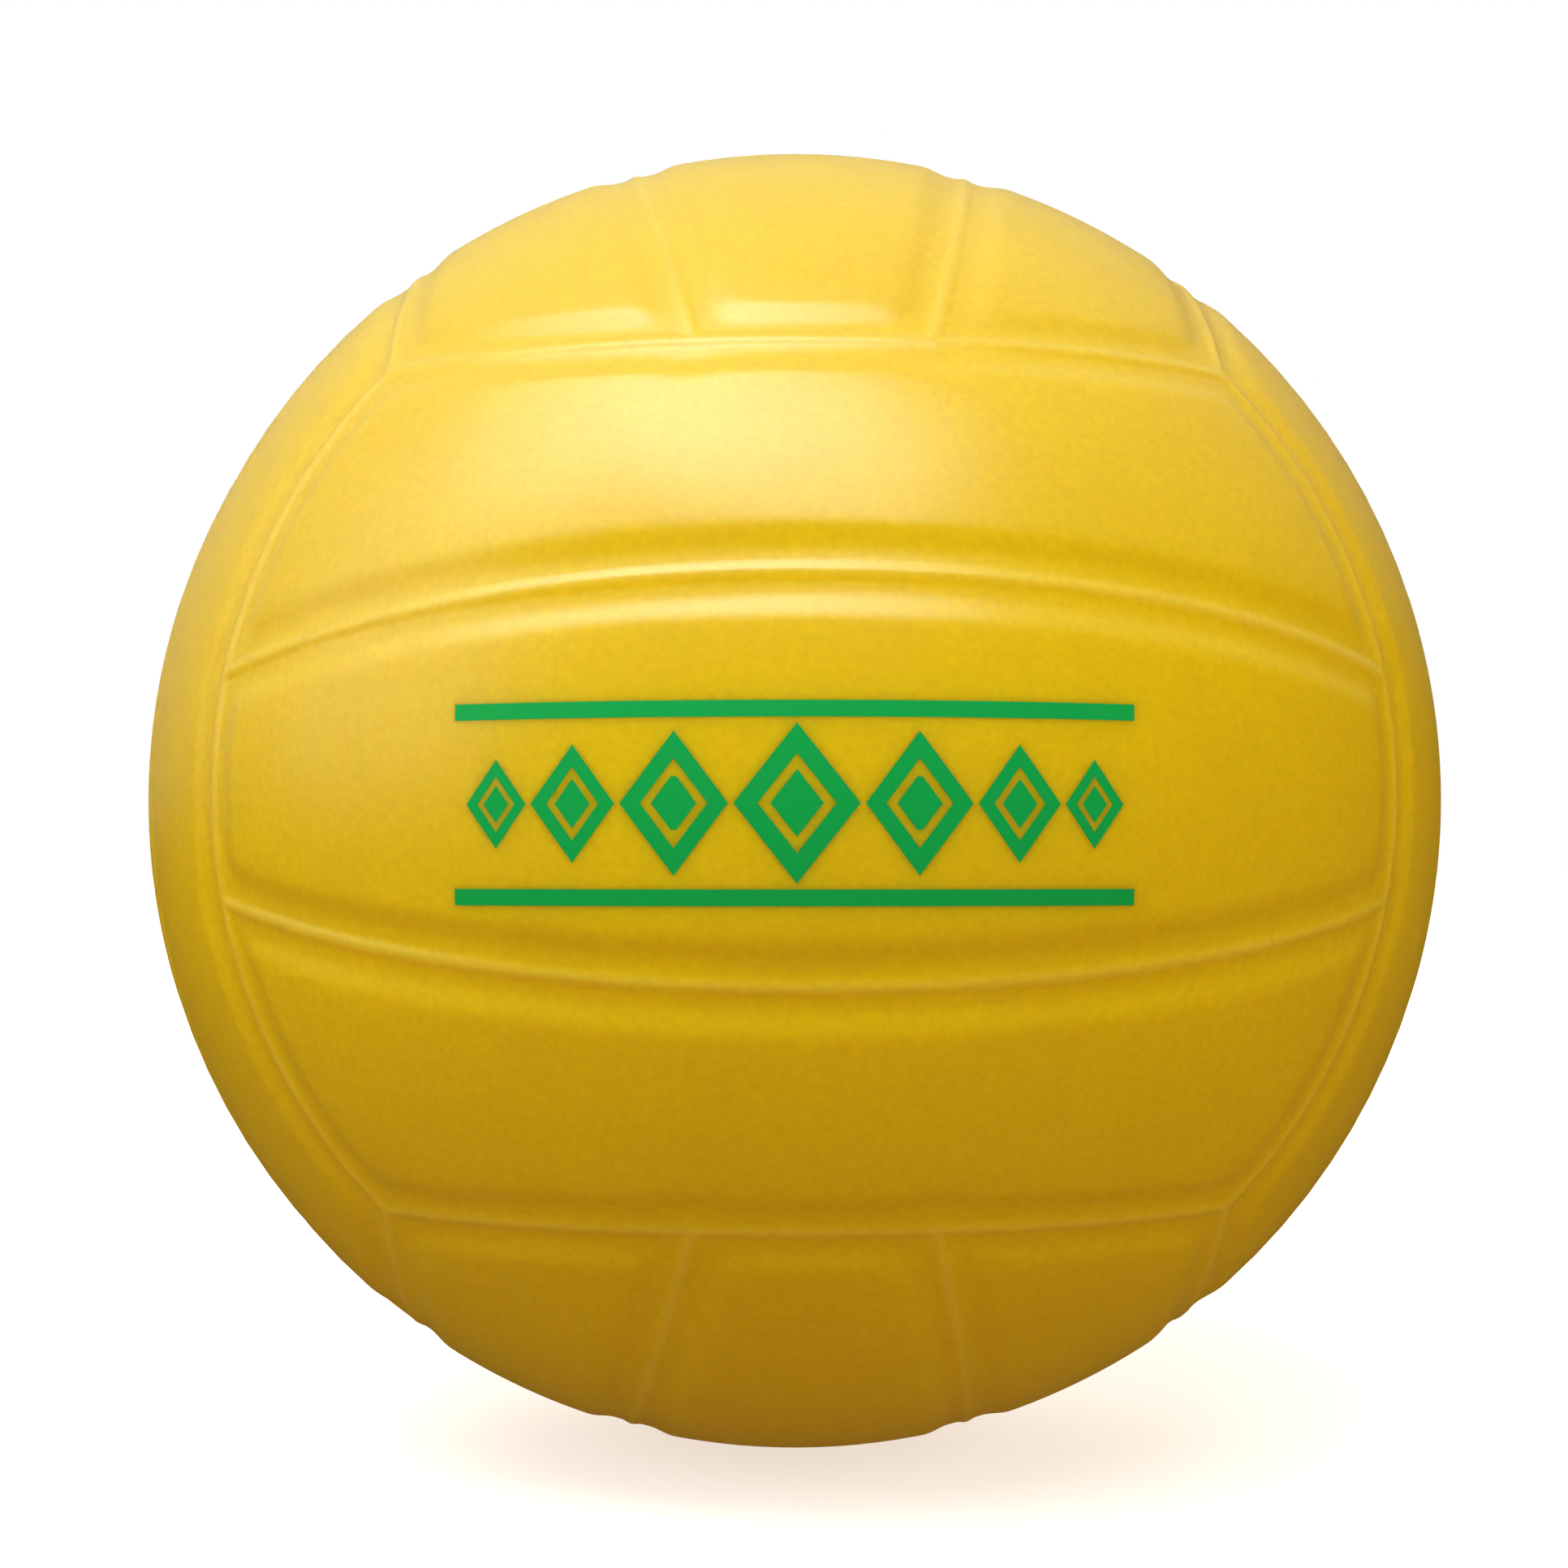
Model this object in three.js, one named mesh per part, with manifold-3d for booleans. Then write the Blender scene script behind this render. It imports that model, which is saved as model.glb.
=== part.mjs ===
// A small inflatable volleyball: one hollow skin of soft vinyl with a needle valve in it.
// Millimetres, +Z up, origin at the centre of the ball. The printed front faces -Y and the valve +Y.
//
// The skin is one moulding. Its seams are shallow channels, each with a fine raised bead along its
// middle, and they part it into 18 strips: six faces of three strips, each face turned a quarter turn
// from the faces beside it.

import * as THREE from "three";
import { mergeVertices } from "three/addons/utils/BufferGeometryUtils.js";
import Module from "manifold-3d";

const wasm = await Module();
wasm.setup();

// Skin
const ballRadius = 63.5;
const wallThickness = 1.5;

// Seams: half widths run over the surface from the middle of the bead
const channelHalfWidth = 4.3;
const floorHalfWidth = 1.6;
const channelDepth = 0.45;
const beadHalfWidth = 1;
const beadHeight = 0.2;

// How far the two inner seams of a face lie from its middle line, at half their length and at their
// ends, as shares of the ball's radius
const seamMiddleShare = 0.258;
const seamEndShare = 0.157;

// Valve core: a rubber plug with a head, a neck, a bulb that snaps in behind the neck, and a tip
const needleRadius = 0.7;
const needleDepth = 7.5;
const needleLeadRadius = 1.4;
const needleLeadDepth = 1;
const neckWall = 1.5;
const neckLength = 3.2;
const headOverhang = 1.2;
const headThickness = 1.1;
const bulbOverhang = 0.6;
const bulbLength = 3;
const bulbTaper = 0.6;
const tipRadius = 1.2;
const tipLength = 4.2;
const coreClearance = 0.3;

// Valve housing: a flange set in the skin, a barrel round the core, and a lip behind the seat
const housingWall = 1.3;
const housingReach = 1.1;
const flangeOverhang = 2.1;
const flangeThickness = 1.6;
const flangeSetBack = 0.5;
const flangeChamfer = 0.3;
const lipOverhang = 1;
const lipThickness = 0.8;
const lipTaper = 1.2;

// Valve seat: a thick boss inside the skin, with a recess for the flange and a bore for the barrel
const seatClearance = 0.3;
const seatThickness = 2.1;
const bossWall = 3.2;
const bossTaper = 1.5;

// How far a cut runs on past the surface that it cuts
const overrun = 1;

// Fineness of the meshes: where lines of the grid cut each outer strip, as shares of its width, steps
// from pole to pole of the hollow and round each turned piece, and how near points are joined as one
const stripCutShares = [1 / 3, 2 / 3];
const hollowSteps = 20;
const turnSteps = 40;
const weldDistance = 0.00001;

// Sizes that follow from those above
const neckRadius = needleRadius + neckWall;
const headRadius = neckRadius + headOverhang;
const bulbRadius = neckRadius + bulbOverhang;
const barrelRadius = bulbRadius + coreClearance + housingWall;
const flangeRadius = barrelRadius + flangeOverhang;
const lipRadius = barrelRadius + lipOverhang;
const recessRadius = flangeRadius + seatClearance;
const bossRadius = recessRadius + bossWall;

// Depths run inwards from the outermost point of the ball over the valve
const headDepth = flangeSetBack + headThickness;
const neckDepth = headDepth + neckLength;
const bulbDepth = neckDepth + bulbLength;
const tipDepth = bulbDepth + tipLength;
const flangeDepth = flangeSetBack + flangeThickness;
const housingDepth = tipDepth + housingReach;
const recessDepth = flangeDepth + seatClearance;
const bossDepth = recessDepth + seatThickness;
const lipDepth = bossDepth + seatClearance;

// The corners where three faces meet are those of a cube inside the ball, and each edge between two
// faces is a quarter of the circle in which a side of that cube cuts the ball. Shares of the radius.
const cornerShare = 1 / Math.sqrt(3);
const edgeCircleShare = Math.sqrt(1 - cornerShare * cornerShare);

function planeThrough(a, b, c) {
  const normal = b.clone().sub(a).cross(c.clone().sub(a)).normalize();
  return { normal, distance: normal.dot(a) };
}

// The point on the unit sphere where two planes cross, of the two the one on the side of towards.
function crossingOnSphere(one, two, towards) {
  const along = one.normal.clone().cross(two.normal);
  const base = two.normal.clone().cross(along).multiplyScalar(one.distance);
  base.add(along.clone().cross(one.normal).multiplyScalar(two.distance));
  base.divideScalar(along.lengthSq());
  const reach = Math.sqrt((1 - base.lengthSq()) / along.lengthSq());
  return base.addScaledVector(along, reach * Math.sign(along.dot(towards)));
}

// How far along or up the unit sphere an edge circle reaches, at a place on it.
function edgeReach(place) {
  return Math.sqrt(edgeCircleShare * edgeCircleShare - place * place);
}

// A plane that runs the way of the front face's strips, through a height at the face's middle and
// another height at its two ends. The seams and the grid's rows lie in such planes.
function rowPlane(middle, end) {
  return planeThrough(
    new THREE.Vector3(-edgeReach(end), -cornerShare, end),
    new THREE.Vector3(0, -Math.sqrt(1 - middle * middle), middle),
    new THREE.Vector3(edgeReach(end), -cornerShare, end),
  );
}

// A plane that runs across the strips, through a place at the face's middle and another at its top
// and bottom edges. The grid's columns lie in such planes.
function columnPlane(middle, end) {
  return planeThrough(
    new THREE.Vector3(end, -edgeReach(end), -cornerShare),
    new THREE.Vector3(middle, -Math.sqrt(1 - middle * middle), 0),
    new THREE.Vector3(end, -edgeReach(end), cornerShare),
  );
}

// The six ways to lay the front face on the ball: half a turn gives the face opposite, and a swap of
// the axes the next pair of faces, with the strips a quarter turn round.
function faceTurns() {
  const swaps = [
    (v) => new THREE.Vector3(v.x, v.y, v.z),
    (v) => new THREE.Vector3(v.z, v.x, v.y),
    (v) => new THREE.Vector3(v.y, v.z, v.x),
  ];
  const halfTurn = (v) => new THREE.Vector3(-v.x, -v.y, v.z);
  return swaps.flatMap((swap) => [swap, (v) => swap(halfTurn(v))]);
}

// Every seam as an arc on the unit sphere: the 12 edges between faces and the 12 inner seams.
function seamArcs() {
  const shapes = [
    { middle: cornerShare, end: cornerShare },
    { middle: seamMiddleShare, end: seamEndShare },
  ];
  const arcs = [];
  for (const { middle, end } of shapes) {
    const plane = rowPlane(middle, end);
    const tips = [-1, 1].map((side) => new THREE.Vector3(side * edgeReach(end), -cornerShare, end));
    for (const turn of faceTurns()) {
      for (const up of [1, -1]) {
        const place = (v) => turn(new THREE.Vector3(v.x, v.y, v.z * up));
        arcs.push({ normal: place(plane.normal), distance: plane.distance, tips: tips.map(place) });
      }
    }
  }
  return arcs;
}

// How far a point of the unit sphere lies from an arc, over the sphere.
function distanceToArc(point, arc) {
  const centre = arc.normal.clone().multiplyScalar(arc.distance);
  const inPlane = (v) => v.clone().sub(centre).projectOnPlane(arc.normal).normalize();
  const middle = inPlane(arc.tips[0].clone().add(arc.tips[1]));
  if (inPlane(point).dot(middle) < inPlane(arc.tips[0]).dot(middle)) {
    return Math.min(...arc.tips.map((tip) => point.angleTo(tip)));
  }
  return Math.abs(Math.asin(point.dot(arc.normal)) - Math.asin(arc.distance));
}

// How far the surface stands out from the strips' own sphere, at a distance from the nearest seam.
function seamRelief(distance) {
  const strip = THREE.MathUtils.smoothstep(distance, floorHalfWidth, channelHalfWidth);
  const bead = 1 - THREE.MathUtils.smoothstep(distance, 0, beadHalfWidth);
  return beadHeight * bead - channelDepth * (1 - strip);
}

// The angles of the grid's lines over one face, for lines that meet a circle of a share of the ball's
// radius squarely. They follow each seam at its bead, the bead's foot, the floor's edge and the
// channel's edge, and part the strips between.
function gridAngles(seamAngle, edgeAngle, circleShare) {
  const widths = [0, beadHalfWidth, floorHalfWidth, channelHalfWidth];
  const offsets = widths.map((width) => width / (ballRadius * circleShare));
  const beforeSeam = offsets.map((offset) => seamAngle - offset).reverse();
  const afterSeam = offsets.slice(1).map((offset) => seamAngle + offset);
  const beforeEdge = offsets.map((offset) => edgeAngle - offset).reverse();
  const stripWidth = beforeEdge[0] - afterSeam.at(-1);
  const outerStrip = stripCutShares.map((share) => afterSeam.at(-1) + share * stripWidth);
  const half = [beforeSeam[0] / 2, ...beforeSeam, ...afterSeam, ...outerStrip, ...beforeEdge];
  return [...half.map((angle) => -angle).reverse(), 0, ...half];
}

// The outer surface: one grid, laid on each of the six faces. Rows and columns end at the same places
// along the edges, so that neighbouring faces share their points there.
function outerGeometry() {
  const cornerAngle = Math.PI / 4;
  const seamEndAngle = Math.asin(seamEndShare / edgeCircleShare);
  const halfFaceAngle = Math.asin(edgeCircleShare);
  const endAngles = gridAngles(seamEndAngle, cornerAngle, edgeCircleShare);
  const rowAngles = gridAngles(Math.asin(seamMiddleShare), Math.asin(cornerShare), 1);
  const columnAngles = gridAngles((seamEndAngle * halfFaceAngle) / cornerAngle, halfFaceAngle, 1);
  const ends = endAngles.map((angle) => edgeCircleShare * Math.sin(angle));
  const rows = ends.map((end, i) => rowPlane(Math.sin(rowAngles[i]), end));
  const columns = ends.map((end, i) => columnPlane(Math.sin(columnAngles[i]), end));

  const arcs = seamArcs();
  const rough = (i, j) => new THREE.Vector3(ends[j], -cornerShare, ends[i]);
  const grid = rows.flatMap((row, i) =>
    columns.map((column, j) => crossingOnSphere(row, column, rough(i, j))),
  );
  for (const point of grid) {
    const nearest = Math.min(...arcs.map((arc) => distanceToArc(point, arc)));
    point.multiplyScalar(ballRadius + seamRelief(nearest * ballRadius));
  }

  const positions = [];
  const index = [];
  for (const turn of faceTurns()) {
    const first = positions.length / 3;
    for (const point of grid) positions.push(...turn(point));
    for (let row = 0; row < ends.length - 1; row++) {
      for (let column = 0; column < ends.length - 1; column++) {
        const a = first + row * ends.length + column;
        const b = a + ends.length;
        index.push(a, a + 1, b + 1, a, b + 1, b);
      }
    }
  }
  const geometry = new THREE.BufferGeometry();
  geometry.setAttribute("position", new THREE.Float32BufferAttribute(positions, 3));
  return geometry.setIndex(index);
}

// A solid of revolution about the valve's axis, from an outline of radii and depths.
function turned(outline) {
  const points = outline.map(([radius, depth]) => new THREE.Vector2(radius, -depth));
  return solid(new THREE.LatheGeometry(points, turnSteps));
}

function solid(geometry) {
  geometry.deleteAttribute("normal");
  geometry.deleteAttribute("uv");
  const merged = mergeVertices(geometry, weldDistance);
  const mesh = new wasm.Mesh({
    numProp: 3,
    vertProperties: merged.attributes.position.array,
    triVerts: new Uint32Array(merged.index.array),
  });
  return new wasm.Manifold(mesh);
}

function piece(name, shape, look) {
  const mesh = shape.getMesh();
  const geometry = new THREE.BufferGeometry();
  geometry.setAttribute("position", new THREE.BufferAttribute(mesh.vertProperties, 3));
  geometry.setIndex(new THREE.BufferAttribute(mesh.triVerts, 1));
  geometry.computeVertexNormals();
  const made = new THREE.Mesh(geometry, new THREE.MeshStandardMaterial({ ...look, metalness: 0 }));
  made.name = name;
  return made;
}

// The skin, with the boss left standing in its hollow and the valve's seat cut through both.
function ballSkin() {
  const boss = turned([
    [0, bossDepth],
    [bossRadius - bossTaper, bossDepth],
    [bossRadius, bossDepth - bossTaper],
    [bossRadius, -overrun],
    [0, -overrun],
  ]);
  const seat = turned([
    [0, bossDepth + overrun],
    [barrelRadius + seatClearance, bossDepth + overrun],
    [barrelRadius + seatClearance, recessDepth],
    [recessRadius, recessDepth],
    [recessRadius, -overrun],
    [0, -overrun],
  ]);
  const atValve = [0, ballRadius, 0];
  const sphere = new THREE.SphereGeometry(ballRadius - wallThickness, 2 * hollowSteps, hollowSteps);
  const hollow = solid(sphere).subtract(boss.translate(atValve));
  const shape = solid(outerGeometry()).subtract(hollow).subtract(seat.translate(atValve));
  return piece("ball_skin", shape, { color: 0xe3b81f, roughness: 0.4 });
}

function valveHousing() {
  const neckBore = neckRadius + coreClearance;
  const bulbBore = bulbRadius + coreClearance;
  const headBore = headRadius + coreClearance;
  const shape = turned([
    [neckBore, neckDepth - coreClearance],
    [bulbBore, neckDepth - coreClearance],
    [bulbBore, housingDepth],
    [barrelRadius, housingDepth],
    [barrelRadius, lipDepth + lipThickness + lipTaper],
    [lipRadius, lipDepth + lipThickness],
    [lipRadius, lipDepth],
    [barrelRadius, lipDepth],
    [barrelRadius, flangeDepth],
    [flangeRadius, flangeDepth],
    [flangeRadius, flangeSetBack + flangeChamfer],
    [flangeRadius - flangeChamfer, flangeSetBack],
    [headBore, flangeSetBack],
    [headBore, headDepth + coreClearance],
    [neckBore, headDepth + coreClearance],
    [neckBore, neckDepth - coreClearance],
  ]);
  return piece("valve_housing", shape, { color: 0xd9ad1b, roughness: 0.5 });
}

function valveCore() {
  const shape = turned([
    [0, tipDepth],
    [tipRadius, tipDepth],
    [neckRadius, bulbDepth],
    [bulbRadius, bulbDepth - bulbTaper],
    [bulbRadius, neckDepth],
    [neckRadius, neckDepth],
    [neckRadius, headDepth],
    [headRadius, headDepth],
    [headRadius, flangeSetBack],
    [needleLeadRadius, flangeSetBack],
    [needleRadius, flangeSetBack + needleLeadDepth],
    [needleRadius, flangeSetBack + needleDepth],
    [0, flangeSetBack + needleDepth],
  ]);
  return piece("valve_core", shape, { color: 0x2b2a26, roughness: 0.7 });
}

const valve = new THREE.Group();
valve.position.set(0, ballRadius, 0);
valve.add(valveHousing(), valveCore());

const ball = new THREE.Group();
ball.add(ballSkin(), valve);

export default ball;
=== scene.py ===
import math

import bpy
import numpy as np
from mathutils import Matrix, Vector


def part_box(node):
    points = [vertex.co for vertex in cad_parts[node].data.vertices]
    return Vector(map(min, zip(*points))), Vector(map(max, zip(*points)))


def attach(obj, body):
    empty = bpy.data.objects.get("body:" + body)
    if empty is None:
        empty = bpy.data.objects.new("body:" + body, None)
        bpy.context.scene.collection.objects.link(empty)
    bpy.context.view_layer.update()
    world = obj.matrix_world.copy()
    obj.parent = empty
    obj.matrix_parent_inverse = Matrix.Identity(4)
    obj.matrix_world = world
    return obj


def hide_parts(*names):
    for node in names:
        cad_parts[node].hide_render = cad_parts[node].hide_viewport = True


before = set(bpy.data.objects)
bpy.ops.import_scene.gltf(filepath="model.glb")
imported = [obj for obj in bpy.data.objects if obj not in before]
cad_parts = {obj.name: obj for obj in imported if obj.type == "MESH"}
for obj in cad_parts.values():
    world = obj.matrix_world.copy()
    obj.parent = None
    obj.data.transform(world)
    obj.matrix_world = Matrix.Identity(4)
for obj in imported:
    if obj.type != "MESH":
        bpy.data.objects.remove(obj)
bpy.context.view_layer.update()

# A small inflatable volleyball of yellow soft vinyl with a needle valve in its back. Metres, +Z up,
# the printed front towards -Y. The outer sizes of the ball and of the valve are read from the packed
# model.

MM = 0.001

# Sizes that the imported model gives. The valve's axis is the Y axis.
skin_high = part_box("ball_skin")[1]
housing_low, housing_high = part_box("valve_housing")
core_low, core_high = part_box("valve_core")
BALL_RADIUS = skin_high.z
VALVE_SET_BACK = BALL_RADIUS - housing_high.y
FLANGE_RADIUS = housing_high.x
HOUSING_DEPTH = BALL_RADIUS - housing_low.y
HEAD_RADIUS = core_high.x
TIP_DEPTH = BALL_RADIUS - core_low.y

# Seams: half widths run over the surface from the middle of the bead
CHANNEL_HALF_WIDTH = 4.3 * MM
FLOOR_HALF_WIDTH = 1.6 * MM
CHANNEL_DEPTH = 0.45 * MM
BEAD_HALF_WIDTH = 1 * MM
BEAD_HEIGHT = 0.2 * MM

# How far channels and beads melt into one another where they meet, and how far from its middle a bead
# carries the painted glint: a painted highlight that makes the bead paler than the strips
CHANNEL_BLEND = 0.8 * MM
BEAD_BLEND = 0.15 * MM
PAINTED_GLINT_HALF_WIDTH = 0.8 * MM

# Where the two inner seams of a face lie, at half their length and at their ends, as shares of the
# radius
SEAM_MIDDLE_SHARE = 0.258
SEAM_END_SHARE = 0.157

# The corners where three faces meet are those of a cube inside the ball
CORNER_SHARE = 1 / math.sqrt(3)
EDGE_CIRCLE_SHARE = math.sqrt(2 / 3)

# Distances from a bead at which lines of the mesh follow a seam, and cells between those lines over the
# middle strip's half and over an outer strip
SEAM_LINES = [d * MM for d in (0, 0.2, 0.4, 0.6, 0.8, 1, 1.3, 1.6, 2, 2.4, 2.8, 3.2, 3.6, 3.95, 4.3, 5)]
MIDDLE_STRIP_CELLS = 6
OUTER_STRIP_CELLS = 9

# Valve and its seat in the skin: radii from the axis, and depths from the ball's outermost point over it
WALL = 1.5 * MM
BARREL_RADIUS = 4.4 * MM
LIP_RADIUS = 5.4 * MM
NECK_RADIUS = 2.2 * MM
BULB_RADIUS = 2.8 * MM
TIP_RADIUS = 1.2 * MM
NEEDLE_RADIUS = 0.7 * MM
NEEDLE_LEAD_RADIUS = 1.4 * MM
BOSS_RADIUS = 10 * MM
HEAD_DEPTH = 1.6 * MM
FLANGE_DEPTH = 2.1 * MM
BOSS_DEPTH = 4.5 * MM
NECK_DEPTH = 4.8 * MM
LIP_DEPTH = 4.8 * MM
BULB_DEPTH = 7.8 * MM
LIP_THICKNESS = 0.8 * MM
LIP_LENGTH = 2 * MM
BULB_TAPER = 0.6 * MM
NEEDLE_LEAD_DEPTH = 1 * MM
NEEDLE_DEPTH = 7.5 * MM
CORE_CLEARANCE = 0.3 * MM
SEAT_CLEARANCE = 0.3 * MM
VALVE_ROUNDING = 0.18 * MM
RIM_ROUNDING = 0.35 * MM
RIM_CLEARANCE = 0.02 * MM
OVERRUN = 1 * MM

# Print on the front, as it is seen from straight ahead: its middle from the face's middle, the rhombi
# as distance from the print's middle, half width and half height, and the lines above and below them.
# Each rhombus is a frame round a smaller rhombus: shares of its size at which the frame ends and the
# smaller one starts.
PRINT_ACROSS = -1.8 * MM
PRINT_UP = -1.95 * MM
PRINT_HALF_WIDTH = 26.9 * MM
PRINT_STAND_OFF = 2 * MM
PRINT_CELL = 0.6 * MM
RHOMBI = [
    (0, 4.9 * MM, 6.2 * MM),
    (9.5 * MM, 4.2 * MM, 5.6 * MM),
    (17.4 * MM, 3.3 * MM, 4.6 * MM),
    (23.5 * MM, 2.4 * MM, 3.5 * MM),
]
FRAME_SHARE = 0.62
HEART_SHARE = 0.42
BORDER_HEIGHT = 7.3 * MM
BORDER_HALF_LINE = 0.65 * MM
INK_GAP = 0.005 * MM
INK_THICKNESS = 0.02 * MM

# Fineness of the meshes, how near points are merged, and the turn in degrees from which an edge stays
# sharp
TURN_STEPS = 96
ROUND_STEPS = 4
HOLLOW_SEGMENTS = 48
HOLLOW_RINGS = 24
WELD = 0.001 * MM
SHARP_ANGLE = 40

# The photograph's view: places in the 1932 x 1932 frame, directions in degrees from straight ahead and
# from level, and how far the camera is and the nearest that it sees, as shares of the ball's radius.
# The sensor's width is in millimetres.
FRAME_PIXELS = 1932
FOCAL_PIXELS = 3210
BALL_CENTRE_PIXEL = (979, 985.5)
CAMERA_YAW = -1.8
CAMERA_PITCH = -1.55
CAMERA_DISTANCE_SHARE = 4.15
SENSOR_WIDTH = 36
NEAR_CLIP_SHARE = 0.1

# Light: how bright the air is for the ball, and how bright the room and its ceiling are in the ball's
# gloss. The ceiling is brightest in one direction, and fades into the room where the cosine of the
# angle from it has dropped to CEILING_EDGE.
WHITE = (1, 1, 1, 1)
AIR_LIGHT = 0.4
GLOSS_LIGHT = 0.025
GLOSS_CEILING = 0.8
CEILING_DIRECTION = (-0.2, 0.22, 0.95)
CEILING_EDGE = 0.15

# Floor: how wide it is and how much light it gives back to the ball. Then how much of the white that
# the camera sees is its own, near the ball, where the shadow falls, and far from it.
FLOOR_SIZE = 40
BOUNCE_LIGHT = 0.44
NEAR_GLOW = 0.6
FAR_GLOW = 1.0
NEAR_FLOOR = 150 * MM
FAR_FLOOR = 700 * MM

# How far the lamps stand from the ball's middle
LAMP_DISTANCE = 1


def srgb(code):
    """A colour written as an sRGB hex value, as the linear one that shaders and lamps take."""
    parts = [(code >> shift & 255) / 255 for shift in (16, 8, 0)]
    linear = [p / 12.92 if p <= 0.04045 else ((p + 0.055) / 1.055) ** 2.4 for p in parts]
    return (*linear, 1)


def only(piece):
    """Selects one object alone and makes it the one that operators work on."""
    bpy.ops.object.select_all(action="DESELECT")
    piece.select_set(True)
    bpy.context.view_layer.objects.active = piece


def joined(name, pieces):
    """Several objects as one, with the vertices that they share merged."""
    only(pieces[0])
    for piece in pieces:
        piece.select_set(True)
    bpy.ops.object.join()
    whole = bpy.context.object
    whole.name = name
    bpy.ops.object.mode_set(mode="EDIT")
    bpy.ops.mesh.select_all(action="SELECT")
    bpy.ops.mesh.remove_doubles(threshold=WELD)
    bpy.ops.mesh.normals_make_consistent(inside=False)
    bpy.ops.object.mode_set(mode="OBJECT")
    return whole


def apply_modifier(piece, kind, **settings):
    """Adds a modifier with its settings and applies it."""
    only(piece)
    modifier = piece.modifiers.new(kind, kind)
    for setting, value in settings.items():
        setattr(modifier, setting, value)
    bpy.ops.object.modifier_apply(modifier=modifier.name)


def cut(piece, tool):
    """Takes a tool's shape out of a piece, and the tool away."""
    apply_modifier(piece, "BOOLEAN", operation="DIFFERENCE", solver="EXACT", object=tool)
    bpy.data.objects.remove(tool)


def smooth(piece):
    """Smooth shading, but with the edges that turn most kept sharp."""
    only(piece)
    bpy.ops.object.shade_smooth_by_angle(angle=math.radians(SHARP_ANGLE))


def turned(name, outline, rounding=0, closed=False):
    """A solid of revolution about the valve's axis, spun from an outline of radii and depths whose
    corners are rounded first. A closed outline makes a ring."""
    mesh = bpy.data.meshes.new(name)
    points = [(radius, BALL_RADIUS - depth, 0) for radius, depth in outline]
    edges = [(i, i + 1) for i in range(len(points) - 1)]
    if closed:
        edges.append((len(points) - 1, 0))
    mesh.from_pydata(points, edges, [])
    piece = bpy.data.objects.new(name, mesh)
    bpy.context.scene.collection.objects.link(piece)
    only(piece)
    bpy.ops.object.mode_set(mode="EDIT")
    bpy.ops.mesh.select_all(action="SELECT")
    if rounding:
        bpy.ops.mesh.bevel(offset=rounding, segments=ROUND_STEPS, affect="VERTICES")
        bpy.ops.mesh.select_all(action="SELECT")
    bpy.ops.mesh.spin(steps=TURN_STEPS, angle=2 * math.pi, center=(0, 0, 0), axis=(0, 1, 0))
    bpy.ops.mesh.select_all(action="SELECT")
    bpy.ops.mesh.remove_doubles(threshold=WELD)
    bpy.ops.mesh.normals_make_consistent(inside=False)
    bpy.ops.object.mode_set(mode="OBJECT")
    return piece


def plane_through(a, b, c):
    """The plane through three points, as its normal and its distance from the origin."""
    normal = (b - a).cross(c - a).normalized()
    return normal, normal.dot(a)


def crossing_on_sphere(one, two, towards):
    """The point on the unit sphere where two planes cross, of the two the one on the side of towards."""
    along = one[0].cross(two[0])
    base = (two[0].cross(along) * one[1] + along.cross(one[0]) * two[1]) / along.length_squared
    reach = math.sqrt((1 - base.length_squared) / along.length_squared)
    return base + along * math.copysign(reach, along.dot(towards))


def edge_reach(place):
    """How far along or up the unit sphere an edge circle reaches, at a place on it."""
    return math.sqrt(EDGE_CIRCLE_SHARE**2 - place**2)


def row_plane(middle, end):
    """A plane that runs the way of the front face's strips, through a height at the face's middle and
    another at its two ends. The seams lie in such planes."""
    reach = edge_reach(end)
    return plane_through(
        Vector((-reach, -CORNER_SHARE, end)),
        Vector((0, -math.sqrt(1 - middle**2), middle)),
        Vector((reach, -CORNER_SHARE, end)),
    )


def column_plane(middle, end):
    """A plane that runs across the front face's strips, through a place at the face's middle and
    another at its top and bottom."""
    reach = edge_reach(end)
    return plane_through(
        Vector((end, -reach, -CORNER_SHARE)),
        Vector((middle, -math.sqrt(1 - middle**2), 0)),
        Vector((end, -reach, CORNER_SHARE)),
    )


def face_turns():
    """The six ways to lay the front face on the ball: half a turn gives the face opposite, and a swap
    of the axes the next pair of faces, with the strips a quarter turn round."""
    swaps = [
        Matrix.Identity(3),
        Matrix(((0, 0, 1), (1, 0, 0), (0, 1, 0))),
        Matrix(((0, 1, 0), (0, 0, 1), (1, 0, 0))),
    ]
    half_turn = Matrix.Diagonal((-1, -1, 1))
    return [turn for swap in swaps for turn in (swap, swap @ half_turn)]


def seam_arcs():
    """Every seam as an arc on the unit sphere, as its plane's normal and distance and its two tips: the
    12 edges between faces and the 12 inner seams."""
    arcs = []
    for middle, end in ((CORNER_SHARE, CORNER_SHARE), (SEAM_MIDDLE_SHARE, SEAM_END_SHARE)):
        normal, distance = row_plane(middle, end)
        tips = [Vector((side * edge_reach(end), -CORNER_SHARE, end)) for side in (-1, 1)]
        for turn in face_turns():
            for flip in (Matrix.Identity(3), Matrix.Diagonal((1, 1, -1))):
                place = turn @ flip
                arcs.append((place @ normal, distance, [place @ tip for tip in tips]))
    return arcs


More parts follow.
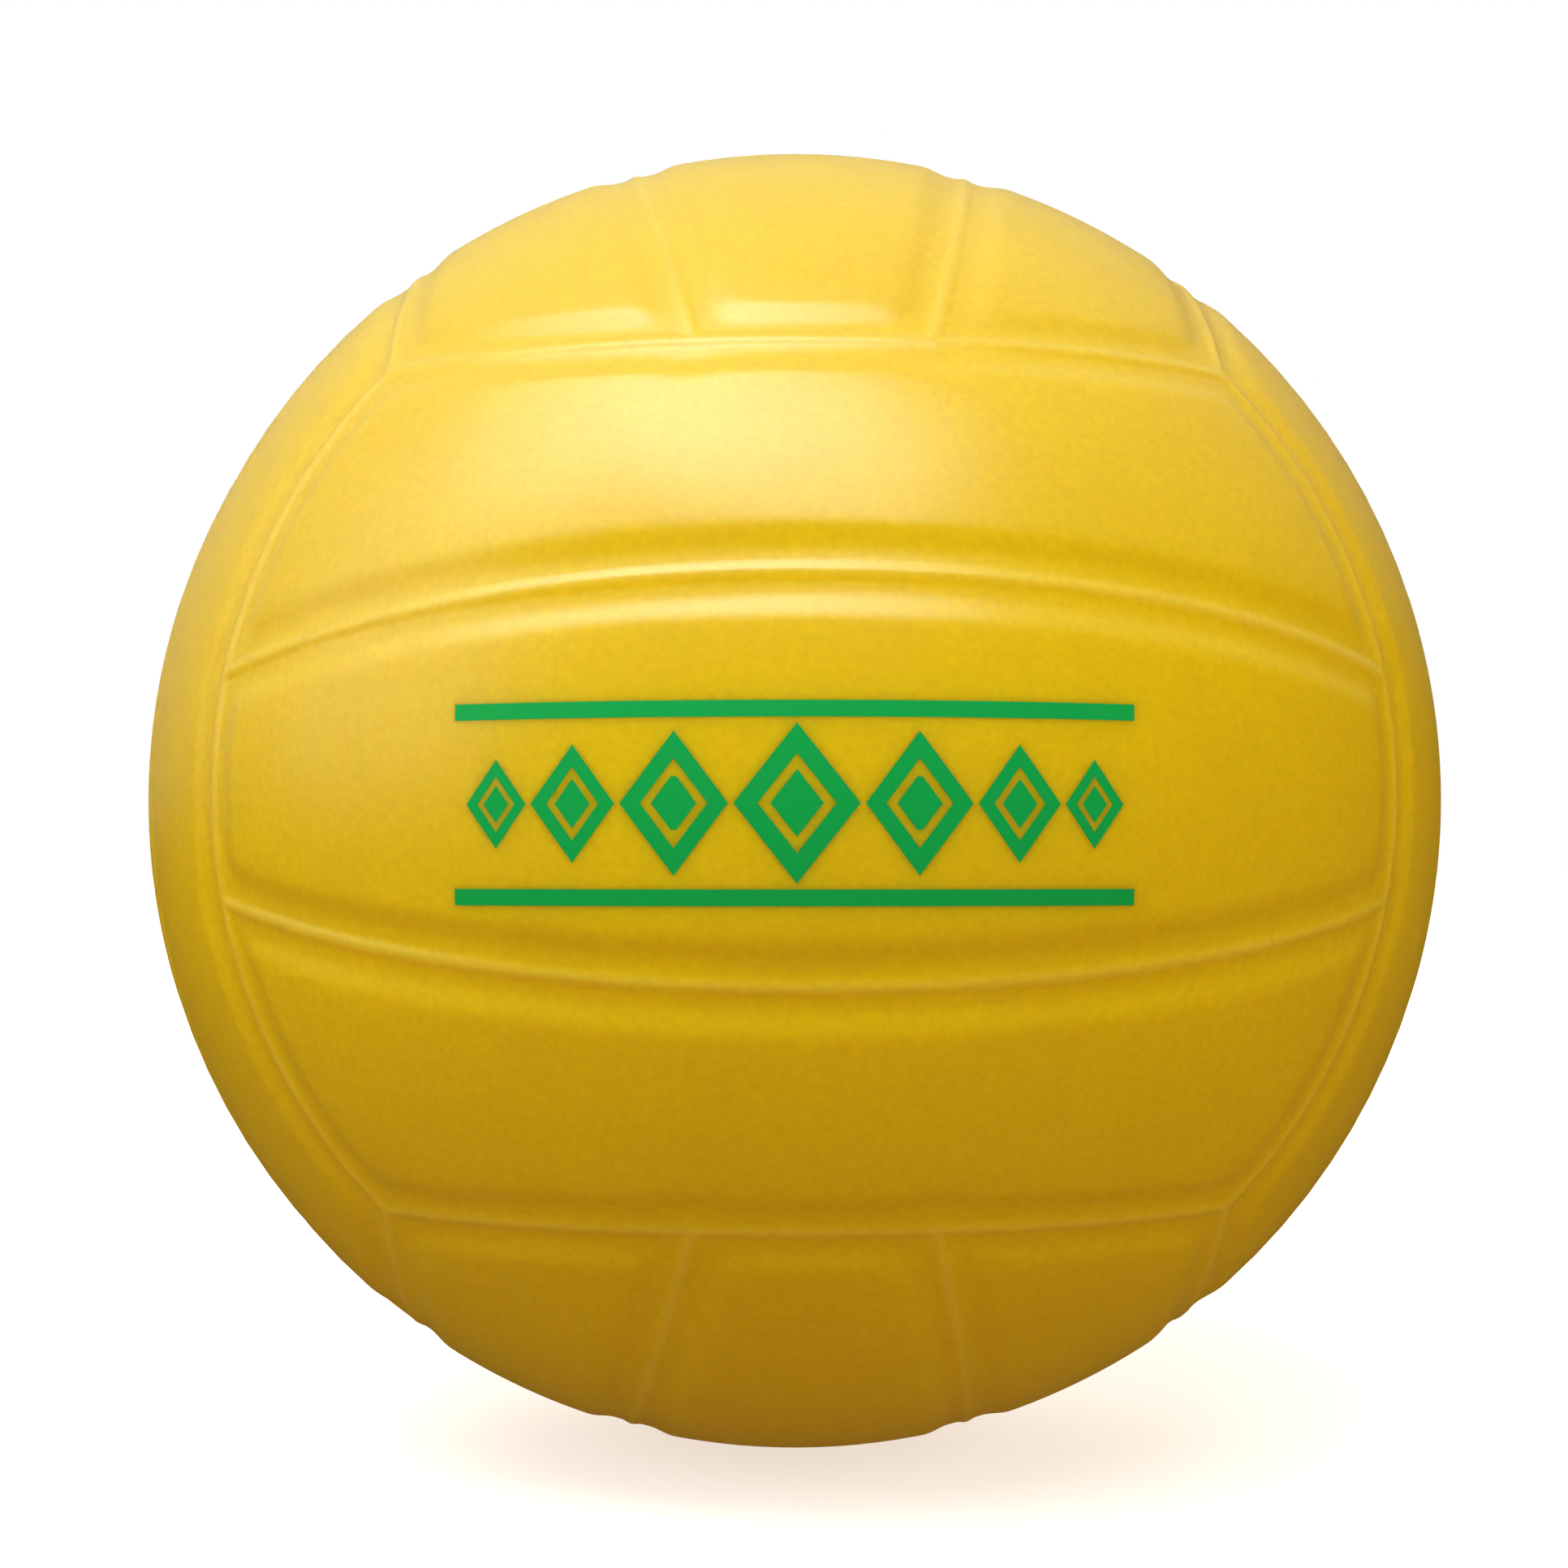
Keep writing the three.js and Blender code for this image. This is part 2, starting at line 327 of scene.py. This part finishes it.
def distances_to_seams(points):
    """How far each point of the unit sphere lies from each seam, over the ball's surface: one row a
    point and one column a seam. Beside a seam that is the way straight to it, and beyond its ends the
    way to the nearer tip."""
    columns = []
    for normal, distance, tips in seam_arcs():
        normal = np.array(normal)
        tips = np.array(tips)
        in_plane = points - np.outer(points @ normal, normal)
        tips_in_plane = tips - np.outer(tips @ normal, normal)
        tips_in_plane /= np.linalg.norm(tips_in_plane, axis=1)[:, None]
        middle = tips_in_plane.sum(0) / np.linalg.norm(tips_in_plane.sum(0))
        tip_cosine = tips_in_plane[0] @ middle
        within = in_plane @ middle >= tip_cosine * np.linalg.norm(in_plane, axis=1)
        beside = np.abs(np.arcsin(np.clip(points @ normal, -1, 1)) - math.asin(distance))
        beyond = np.arccos(np.clip((points @ tips.T).max(1), -1, 1))
        columns.append(BALL_RADIUS * np.where(within, beside, beyond))
    return np.array(columns).T


def soft_least(distances, blend):
    """The least distance of each row, with a round turn from one seam to the next."""
    return -blend * np.log(np.exp(-distances / blend).sum(1))


def smooth_step(values, low, high):
    """A smooth rise from 0 at a low value to 1 at a high one, level beyond them."""
    share = np.clip((values - low) / (high - low), 0, 1)
    return share * share * (3 - 2 * share)


def seam_relief(points):
    """How far the surface stands out from the strips' own sphere at points of the unit sphere."""
    distances = distances_to_seams(points)
    strip = smooth_step(soft_least(distances, CHANNEL_BLEND), FLOOR_HALF_WIDTH, CHANNEL_HALF_WIDTH)
    bead = 1 - smooth_step(soft_least(distances, BEAD_BLEND), 0, BEAD_HALF_WIDTH)
    return BEAD_HEIGHT * bead - CHANNEL_DEPTH * (1 - strip)


def line_angles(seam_angle, edge_angle, circle_share):
    """The angles of the mesh's lines over one face, for lines that meet a circle of a share of the
    ball's radius squarely. They follow the seams closely and part the strips evenly."""
    offsets = [line / (BALL_RADIUS * circle_share) for line in SEAM_LINES]
    before_seam = [seam_angle - offset for offset in reversed(offsets)]
    after_seam = [seam_angle + offset for offset in offsets[1:]]
    before_edge = [edge_angle - offset for offset in reversed(offsets)]
    middle = [before_seam[0] * i / MIDDLE_STRIP_CELLS for i in range(1, MIDDLE_STRIP_CELLS)]
    width = before_edge[0] - after_seam[-1]
    outer = [after_seam[-1] + width * i / OUTER_STRIP_CELLS for i in range(1, OUTER_STRIP_CELLS)]
    half = middle + before_seam + after_seam + outer + before_edge
    return [-angle for angle in reversed(half)] + [0] + half


def face_points():
    """The front face's mesh lines crossed with one another on the unit sphere, row by row. Rows and
    columns end at the same places along the edges, so that neighbouring faces share their points."""
    seam_end_angle = math.asin(SEAM_END_SHARE / EDGE_CIRCLE_SHARE)
    half_face_angle = math.asin(EDGE_CIRCLE_SHARE)
    corner_angle = math.pi / 4
    end_angles = line_angles(seam_end_angle, corner_angle, EDGE_CIRCLE_SHARE)
    row_angles = line_angles(math.asin(SEAM_MIDDLE_SHARE), math.asin(CORNER_SHARE), 1)
    column_seam = seam_end_angle * half_face_angle / corner_angle
    column_angles = line_angles(column_seam, half_face_angle, 1)
    ends = [EDGE_CIRCLE_SHARE * math.sin(angle) for angle in end_angles]
    rows = [row_plane(math.sin(angle), end) for angle, end in zip(row_angles, ends)]
    columns = [column_plane(math.sin(angle), end) for angle, end in zip(column_angles, ends)]
    return [
        [
            crossing_on_sphere(row, column, Vector((across, -CORNER_SHARE, up)))
            for column, across in zip(columns, ends)
        ]
        for row, up in zip(rows, ends)
    ]


def moulded_surface():
    """The ball's outside: one face's grid laid on it with the seams pressed in, and copied to the other
    five faces."""
    points = face_points()
    relief = seam_relief(np.array([point for row in points for point in row]))
    cells = len(points) - 1
    bpy.ops.object.select_all(action="DESELECT")
    bpy.ops.mesh.primitive_grid_add(x_subdivisions=cells, y_subdivisions=cells, size=cells)
    face = bpy.context.object
    for vertex in face.data.vertices:
        column = round(vertex.co.x + cells / 2)
        row = round(vertex.co.y + cells / 2)
        vertex.co = points[row][column] * (BALL_RADIUS + relief[row * (cells + 1) + column])
    faces = []
    for turn in face_turns():
        copy = bpy.data.objects.new("face", face.data.copy())
        copy.data.transform(turn.to_4x4())
        bpy.context.scene.collection.objects.link(copy)
        faces.append(copy)
    bpy.data.objects.remove(face)
    return joined("ball", faces)


def mark_painted_glints(skin):
    """Keeps on each vertex of the skin how near it lies to the top of a bead, for the material, which
    paints a glint there: the bead tops are painted paler, as a highlight.
    """
    places = np.array([vertex.co.normalized() for vertex in skin.data.vertices])
    distances = soft_least(distances_to_seams(places), BEAD_BLEND)
    painted_glint = skin.data.attributes.new("painted_glint", "FLOAT", "POINT")
    painted_glint.data.foreach_set("value", 1 - smooth_step(distances, 0, PAINTED_GLINT_HALF_WIDTH))


def ball_skin():
    """The skin: hollow, with a boss left standing inside behind the valve and the valve's seat cut
    through both. The seat's rim is rounded."""
    skin = moulded_surface()
    boss_outline = [
        (0, BOSS_DEPTH),
        (BOSS_RADIUS, BOSS_DEPTH),
        (BOSS_RADIUS, -OVERRUN),
        (0, -OVERRUN),
    ]
    boss = turned("boss", boss_outline)
    bpy.ops.object.select_all(action="DESELECT")
    bpy.ops.mesh.primitive_uv_sphere_add(
        segments=HOLLOW_SEGMENTS,
        ring_count=HOLLOW_RINGS,
        radius=BALL_RADIUS - WALL,
    )
    hollow = bpy.context.object
    cut(hollow, boss)
    cut(skin, hollow)
    bore = BARREL_RADIUS + SEAT_CLEARANCE
    recess = FLANGE_RADIUS + SEAT_CLEARANCE
    recess_depth = FLANGE_DEPTH + SEAT_CLEARANCE
    rim_depth = BALL_RADIUS - math.sqrt(BALL_RADIUS**2 - recess**2) - RIM_CLEARANCE
    rim_slope = recess / BALL_RADIUS
    outline = [
        (0, BOSS_DEPTH + OVERRUN),
        (bore, BOSS_DEPTH + OVERRUN),
        (bore, recess_depth),
        (recess, recess_depth),
        (recess, rim_depth),
        (recess + OVERRUN, rim_depth + rim_slope * OVERRUN),
        (recess + OVERRUN, -OVERRUN),
        (0, -OVERRUN),
    ]
    cut(skin, turned("seat", outline, rounding=RIM_ROUNDING))
    mark_painted_glints(skin)
    smooth(skin)
    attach(skin, "root")
    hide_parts("ball_skin")
    return skin


def valve_housing():
    """The housing: a flange that lies flush in the skin, a barrel, and a lip behind the seat."""
    head_bore = HEAD_RADIUS + CORE_CLEARANCE
    neck_bore = NECK_RADIUS + CORE_CLEARANCE
    bulb_bore = BULB_RADIUS + CORE_CLEARANCE
    outline = [
        (neck_bore, NECK_DEPTH - CORE_CLEARANCE),
        (bulb_bore, NECK_DEPTH - CORE_CLEARANCE),
        (bulb_bore, HOUSING_DEPTH),
        (BARREL_RADIUS, HOUSING_DEPTH),
        (BARREL_RADIUS, LIP_DEPTH + LIP_LENGTH),
        (LIP_RADIUS, LIP_DEPTH + LIP_THICKNESS),
        (LIP_RADIUS, LIP_DEPTH),
        (BARREL_RADIUS, LIP_DEPTH),
        (BARREL_RADIUS, FLANGE_DEPTH),
        (FLANGE_RADIUS, FLANGE_DEPTH),
        (FLANGE_RADIUS, VALVE_SET_BACK),
        (head_bore, VALVE_SET_BACK),
        (head_bore, HEAD_DEPTH + CORE_CLEARANCE),
        (neck_bore, HEAD_DEPTH + CORE_CLEARANCE),
    ]
    housing = turned("valve_bush", outline, rounding=VALVE_ROUNDING, closed=True)
    smooth(housing)
    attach(housing, "root")
    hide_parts("valve_housing")
    return housing


def valve_core():
    """The core: a rubber plug with a countersunk hole for a pump needle."""
    outline = [
        (0, TIP_DEPTH),
        (TIP_RADIUS, TIP_DEPTH),
        (NECK_RADIUS, BULB_DEPTH),
        (BULB_RADIUS, BULB_DEPTH - BULB_TAPER),
        (BULB_RADIUS, NECK_DEPTH),
        (NECK_RADIUS, NECK_DEPTH),
        (NECK_RADIUS, HEAD_DEPTH),
        (HEAD_RADIUS, HEAD_DEPTH),
        (HEAD_RADIUS, VALVE_SET_BACK),
        (NEEDLE_LEAD_RADIUS, VALVE_SET_BACK),
        (NEEDLE_RADIUS, VALVE_SET_BACK + NEEDLE_LEAD_DEPTH),
        (NEEDLE_RADIUS, VALVE_SET_BACK + NEEDLE_DEPTH),
        (0, VALVE_SET_BACK + NEEDLE_DEPTH),
    ]
    core = turned("valve_plug", outline, rounding=VALVE_ROUNDING)
    smooth(core)
    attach(core, "root")
    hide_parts("valve_core")
    return core


def printed_patch(across, up, half_width, half_height):
    """A fine rectangle of mesh in front of the ball, facing forwards, at a place of the print."""
    bpy.ops.object.select_all(action="DESELECT")
    bpy.ops.mesh.primitive_grid_add(
        x_subdivisions=math.ceil(2 * half_width / PRINT_CELL),
        y_subdivisions=math.ceil(2 * half_height / PRINT_CELL),
        size=1,
        location=(PRINT_ACROSS + across, -BALL_RADIUS - PRINT_STAND_OFF, PRINT_UP + up),
        rotation=(math.pi / 2, 0, 0),
    )
    patch = bpy.context.object
    patch.scale = (2 * half_width, 2 * half_height, 1)
    bpy.ops.object.transform_apply(location=True, rotation=True, scale=True)
    return patch


def rhombus_sides(across, half_width, half_height):
    """The four sides of a rhombus of the print, each as a point on it and the normal that leads out."""
    for side in (-1, 1):
        for rise in (-1, 1):
            tip = Vector((PRINT_ACROSS + across + side * half_width, 0, PRINT_UP))
            yield tip, Vector((side * half_height, 0, rise * half_width)).normalized()


def in_rhombus(point, across, half_width, half_height):
    """Whether a point of the print, seen from straight ahead, lies in a rhombus of it."""
    aside = abs(point.x - PRINT_ACROSS - across) / half_width
    return aside + abs(point.z - PRINT_UP) / half_height < 1


def printed_rhombus(across, half_width, half_height):
    """A rhombus of ink: a frame round a smaller rhombus."""
    patch = printed_patch(across, 0, half_width, half_height)
    bpy.ops.object.mode_set(mode="EDIT")
    for share in (1, FRAME_SHARE, HEART_SHARE):
        for tip, outwards in rhombus_sides(across, share * half_width, share * half_height):
            bpy.ops.mesh.select_all(action="SELECT")
            bpy.ops.mesh.bisect(
                plane_co=tip,
                plane_no=outwards,
                clear_outer=share == 1,
                threshold=WELD,
            )
    bpy.ops.mesh.select_all(action="DESELECT")
    bpy.ops.object.mode_set(mode="OBJECT")
    for face in patch.data.polygons:
        in_opening, in_heart = (
            in_rhombus(face.center, across, share * half_width, share * half_height)
            for share in (FRAME_SHARE, HEART_SHARE)
        )
        face.select = in_opening and not in_heart
    bpy.ops.object.mode_set(mode="EDIT")
    bpy.ops.mesh.delete(type="FACE")
    bpy.ops.object.mode_set(mode="OBJECT")
    return patch


def front_print(skin):
    """The print in the middle strip: a row of rhombi, largest in the middle, between two lines. It is
    drawn flat, pressed straight back on to the skin and given the thickness of an ink film."""
    shapes = []
    for across, half_width, half_height in RHOMBI:
        for side in (-1, 1) if across else (1,):
            shapes.append(printed_rhombus(side * across, half_width, half_height))
    for up in (-BORDER_HEIGHT, BORDER_HEIGHT):
        shapes.append(printed_patch(0, up, PRINT_HALF_WIDTH, BORDER_HALF_LINE))
    whole = joined("front_print", shapes)
    apply_modifier(
        whole,
        "SHRINKWRAP",
        target=skin,
        wrap_method="PROJECT",
        use_project_y=True,
        use_positive_direction=True,
        use_negative_direction=False,
        offset=INK_GAP,
    )
    apply_modifier(whole, "SOLIDIFY", thickness=INK_THICKNESS, offset=1)
    smooth(whole)
    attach(whole, "root")
    return whole


def add_node(tree, kind, inputs=None, **properties):
    """Adds a node with its own properties. An input's value is a number, a colour or the output of
    another node."""
    node = tree.nodes.new("ShaderNode" + kind)
    for name, value in properties.items():
        setattr(node, name, value)
    for name, value in (inputs or {}).items():
        if isinstance(value, bpy.types.NodeSocket):
            tree.links.new(value, node.inputs[name])
        else:
            node.inputs[name].default_value = value
    return node


def noise(tree, place, size, detail):
    """A noise with features of about a size."""
    inputs = {"Vector": place, "Scale": 1 / size, "Detail": detail}
    return add_node(tree, "TexNoise", inputs).outputs["Fac"]


def mapped(tree, value, low, high, to_low=0.0, to_high=1.0):
    """A value carried over from one range to another, level beyond its ends."""
    inputs = {
        "Value": value,
        "From Min": low,
        "From Max": high,
        "To Min": to_low,
        "To Max": to_high,
    }
    return add_node(tree, "MapRange", inputs).outputs["Result"]


def blended(tree, share, one, other):
    """A share of the way from one colour to another. The Mix node has sockets of like names for numbers,
    vectors and colours, so those for colours are told by their place."""
    inputs = {"Factor": share, 6: one, 7: other}
    return add_node(tree, "Mix", inputs, data_type="RGBA").outputs[2]


def bumped(tree, height, distance, over=None):
    """A normal bent by a height that stands out by a distance, over another normal if one is given."""
    inputs = {"Height": height, "Distance": distance, "Strength": 1.0}
    if over is not None:
        inputs["Normal"] = over
    return add_node(tree, "Bump", inputs).outputs["Normal"]


def new_material(name):
    """An empty material, and the tree that its nodes go into."""
    material = bpy.data.materials.new(name)
    material.use_nodes = True
    material.node_tree.nodes.clear()
    return material, material.node_tree


def rotomoulded_soft_pvc():
    """Soft PVC cast in a spun, blasted steel mould: satin, faintly clouded where the paste ran, with the
    mould's fine grain all over and a slow waviness that shows only in the highlights. The crests of the
    beads carry a painted glint: they are painted a little paler, so that each seam has a light line on it
    wherever it runs. Light sinks into it a few millimetres, red furthest, so that the shaded sides of
    seams stay warm and soft."""
    material, tree = new_material("rotomoulded soft PVC, yellow")
    place = add_node(tree, "TexCoord").outputs["Object"]
    clouds = noise(tree, place, size=14 * MM, detail=2.0)
    grain = noise(tree, place, size=0.7 * MM, detail=2.0)
    waves = noise(tree, place, size=7 * MM, detail=1.0)
    cloud_share = mapped(tree, clouds, 0.35, 0.65)
    clouded = blended(tree, cloud_share, srgb(0xE7CA00), srgb(0xE4C600))
    grain_share = mapped(tree, grain, 0.3, 0.7, to_high=0.35)
    grainy = blended(tree, grain_share, clouded, srgb(0xD1AE00))
    # Painted glint: near the crests of the beads the colour is painted up to 8 % towards a pale yellow,
    # as a highlight.
    painted_glint = add_node(tree, "Attribute", attribute_name="painted_glint").outputs["Fac"]
    painted_glint_share = mapped(tree, painted_glint, 0.0, 1.0, to_high=0.08)
    coloured = blended(tree, painted_glint_share, grainy, srgb(0xFAF49A))
    roughness = mapped(tree, clouds, 0.3, 0.7, to_low=0.29, to_high=0.33)
    wavy = bumped(tree, waves, distance=0.05 * MM)
    grained = bumped(tree, grain, distance=0.006 * MM, over=wavy)
    shader = add_node(
        tree,
        "BsdfPrincipled",
        {
            "Base Color": coloured,
            "Roughness": roughness,
            "IOR": 1.53,
            "Specular IOR Level": 0.75,
            "Subsurface Weight": 1.0,
            "Subsurface Radius": (3.5, 1.8, 0.5),
            "Subsurface Scale": 1 * MM,
            "Normal": grained,
        },
        subsurface_method="BURLEY",
    )
    add_node(tree, "OutputMaterial", {"Surface": shader.outputs["BSDF"]})
    return material


def moulded_bush_pvc():
    """Injection moulded soft PVC, a shade deeper and duller than the skin, with a finer grain."""
    material, tree = new_material("injection moulded soft PVC, yellow")
    place = add_node(tree, "TexCoord").outputs["Object"]
    grain = noise(tree, place, size=0.25 * MM, detail=2.0)
    shader = add_node(
        tree,
        "BsdfPrincipled",
        {
            "Base Color": blended(tree, grain, srgb(0xDDBC08), srgb(0xD4B304)),
            "Roughness": 0.5,
            "IOR": 1.53,
            "Specular IOR Level": 0.4,
            "Normal": bumped(tree, grain, distance=0.006 * MM),
        },
    )
    add_node(tree, "OutputMaterial", {"Surface": shader.outputs["BSDF"]})
    return material


def moulded_butyl_rubber():
    """Black butyl rubber, matt, with the dusty bloom that rubber plugs get and a coarse moulded grain."""
    material, tree = new_material("moulded butyl rubber")
    place = add_node(tree, "TexCoord").outputs["Object"]
    grain = noise(tree, place, size=0.2 * MM, detail=3.0)
    shader = add_node(
        tree,
        "BsdfPrincipled",
        {
            "Base Color": blended(tree, grain, srgb(0x232220), srgb(0x34322E)),
            "Roughness": 0.68,
            "IOR": 1.52,
            "Normal": bumped(tree, grain, distance=0.01 * MM),
        },
    )
    add_node(tree, "OutputMaterial", {"Surface": shader.outputs["BSDF"]})
    return material


def pad_printed_ink():
    """Vinyl ink laid on by a pad: an even, opaque film with less gloss than the skin under it, so that
    its green stays deep where the skin turns pale."""
    material, tree = new_material("pad printed vinyl ink, green")
    place = add_node(tree, "TexCoord").outputs["Object"]
    film = noise(tree, place, size=0.8 * MM, detail=2.0)
    shader = add_node(
        tree,
        "BsdfPrincipled",
        {
            "Base Color": blended(tree, film, srgb(0x00B054), srgb(0x00AB50)),
            "Roughness": 0.45,
            "IOR": 1.5,
            "Specular IOR Level": 0.2,
            "Normal": bumped(tree, film, distance=0.004 * MM),
        },
    )
    add_node(tree, "OutputMaterial", {"Surface": shader.outputs["BSDF"]})
    return material


def by_ray(tree, seen, mirrored, lit):
    """A shader that shows one look to the camera and through glass, another in the gloss of things,
    and a third to the light that bounces off it."""
    path = add_node(tree, "LightPath")
    straight = add_node(
        tree,
        "Math",
        {0: path.outputs["Is Camera Ray"], 1: path.outputs["Is Transmission Ray"]},
        operation="MAXIMUM",
    )
    unseen = add_node(tree, "MixShader", {0: path.outputs["Is Glossy Ray"], 1: lit, 2: mirrored})
    return add_node(tree, "MixShader", {0: straight.outputs[0], 1: unseen.outputs[0], 2: seen})


def studio_floor():
    """A plain white floor that keeps the ball's soft shadow. To the ball it is a dim, warm floor: light
    that yellow vinyl has coloured comes back from below, and the gloss shows only the dark room."""
    bpy.ops.object.select_all(action="DESELECT")
    bpy.ops.mesh.primitive_plane_add(size=FLOOR_SIZE, location=(0, 0, -BALL_RADIUS))
    floor = bpy.context.object
    floor.name = "studio_floor"
    material, tree = new_material("white studio paper")
    place = add_node(tree, "TexCoord").outputs["Object"]
    distance = add_node(tree, "VectorMath", {0: place}, operation="LENGTH")
    strength = mapped(tree, distance.outputs["Value"], NEAR_FLOOR, FAR_FLOOR, NEAR_GLOW, FAR_GLOW)
    paper = add_node(tree, "BsdfDiffuse", {"Color": srgb(0xE6E6E6)})
    glow = add_node(tree, "Emission", {"Color": WHITE, "Strength": strength})
    seen = add_node(tree, "AddShader", {0: paper.outputs[0], 1: glow.outputs[0]})
    mirrored = add_node(tree, "Emission", {"Color": WHITE, "Strength": GLOSS_LIGHT})
    grey = add_node(tree, "BsdfDiffuse", {"Color": srgb(0x4C463E)})
    bounce = add_node(tree, "Emission", {"Color": srgb(0xFFD2A0), "Strength": BOUNCE_LIGHT})
    lit = add_node(tree, "AddShader", {0: grey.outputs[0], 1: bounce.outputs[0]})
    mixed = by_ray(tree, seen.outputs[0], mirrored.outputs[0], lit.outputs[0])
    add_node(tree, "OutputMaterial", {"Surface": mixed.outputs[0]})
    floor.data.materials.append(material)


def studio_world():
    """White air behind the ball, and an even, dimmer light from all round it. The gloss shows a dim
    room with a pale ceiling, because white air would turn the ball's rim and its underside pale."""
    world = bpy.data.worlds.new("studio air")
    world.use_nodes = True
    tree = world.node_tree
    tree.nodes.clear()
    towards = add_node(tree, "TexCoord").outputs["Generated"]
    height = add_node(tree, "VectorMath", {0: towards, 1: CEILING_DIRECTION}, operation="DOT_PRODUCT")
    ceiling = mapped(tree, height.outputs["Value"], CEILING_EDGE, 1.0, GLOSS_LIGHT, GLOSS_CEILING)
    seen = add_node(tree, "Background", {"Color": WHITE, "Strength": 1.0})
    mirrored = add_node(tree, "Background", {"Color": WHITE, "Strength": ceiling})
    lit = add_node(tree, "Background", {"Color": srgb(0xFFE4C4), "Strength": AIR_LIGHT})
    mixed = by_ray(tree, seen.outputs[0], mirrored.outputs[0], lit.outputs[0])
    add_node(tree, "OutputWorld", {"Surface": mixed.outputs[0]})
    bpy.context.scene.world = world


def aimed(thing, place, target=(0, 0, 0)):
    """Puts a lamp or a camera at a place, looking at a target."""
    thing.location = place
    thing.rotation_euler = (Vector(target) - Vector(place)).to_track_quat("-Z", "Y").to_euler()
    bpy.context.scene.collection.objects.link(thing)


def soft_box(name, direction, width, height, watts, colour=0xFFFFFF, spread=180, in_gloss=False):
    """A flat lamp in a direction from the ball, which its gloss mirrors or doesn't. A narrow spread,
    given in degrees, makes it darker from its middle to its sides."""
    lamp = bpy.data.lights.new(name, "AREA")
    lamp.shape = "RECTANGLE"
    lamp.size = width
    lamp.size_y = height
    lamp.spread = math.radians(spread)
    lamp.energy = watts
    lamp.color = srgb(colour)[:3]
    box = bpy.data.objects.new(name, lamp)
    box.visible_glossy = in_gloss
    aimed(box, Vector(direction).normalized() * LAMP_DISTANCE)


def camera():
    """The photograph's view: close, and a little to the left of straight ahead and below level."""
    lens = bpy.data.cameras.new("photograph")
    lens.sensor_width = SENSOR_WIDTH
    lens.lens = SENSOR_WIDTH * FOCAL_PIXELS / FRAME_PIXELS
    lens.clip_start = BALL_RADIUS * NEAR_CLIP_SHARE
    view = bpy.data.objects.new("photograph", lens)
    yaw = math.radians(CAMERA_YAW)
    pitch = math.radians(CAMERA_PITCH)
    away = Vector((math.sin(yaw) * math.cos(pitch), -math.cos(yaw) * math.cos(pitch), math.sin(pitch)))
    distance = CAMERA_DISTANCE_SHARE * BALL_RADIUS
    metres_a_pixel = distance / FOCAL_PIXELS
    across = (FRAME_PIXELS / 2 - BALL_CENTRE_PIXEL[0]) * metres_a_pixel
    up = (BALL_CENTRE_PIXEL[1] - FRAME_PIXELS / 2) * metres_a_pixel
    aimed(view, away * distance, (across, 0, up))
    bpy.context.scene.camera = view


camera()
skin = ball_skin()
skin.data.materials.append(rotomoulded_soft_pvc())
housing = valve_housing()
housing.data.materials.append(moulded_bush_pvc())
core = valve_core()
core.data.materials.append(moulded_butyl_rubber())
ink = front_print(skin)
ink.data.materials.append(pad_printed_ink())

studio_floor()
studio_world()
soft_box("key", (-0.21, -0.43, 0.88), width=1.5, height=0.53, watts=2.9, spread=90, in_gloss=True)
soft_box("front fill", (-0.35, -0.7, 0.62), width=1.2, height=0.8, watts=2.7)
soft_box("left fill", (-1, -0.3, 0.45), width=0.8, height=0.8, watts=1.6, in_gloss=True)
soft_box("right fill", (1, -0.4, 0.2), width=0.8, height=0.8, watts=2.6, colour=0xFFF0D8)
soft_box("back fill", (0, 1, 0.45), width=0.8, height=0.8, watts=4.5, colour=0xFFF8EC)
bpy.context.scene.view_settings.view_transform = "Standard"
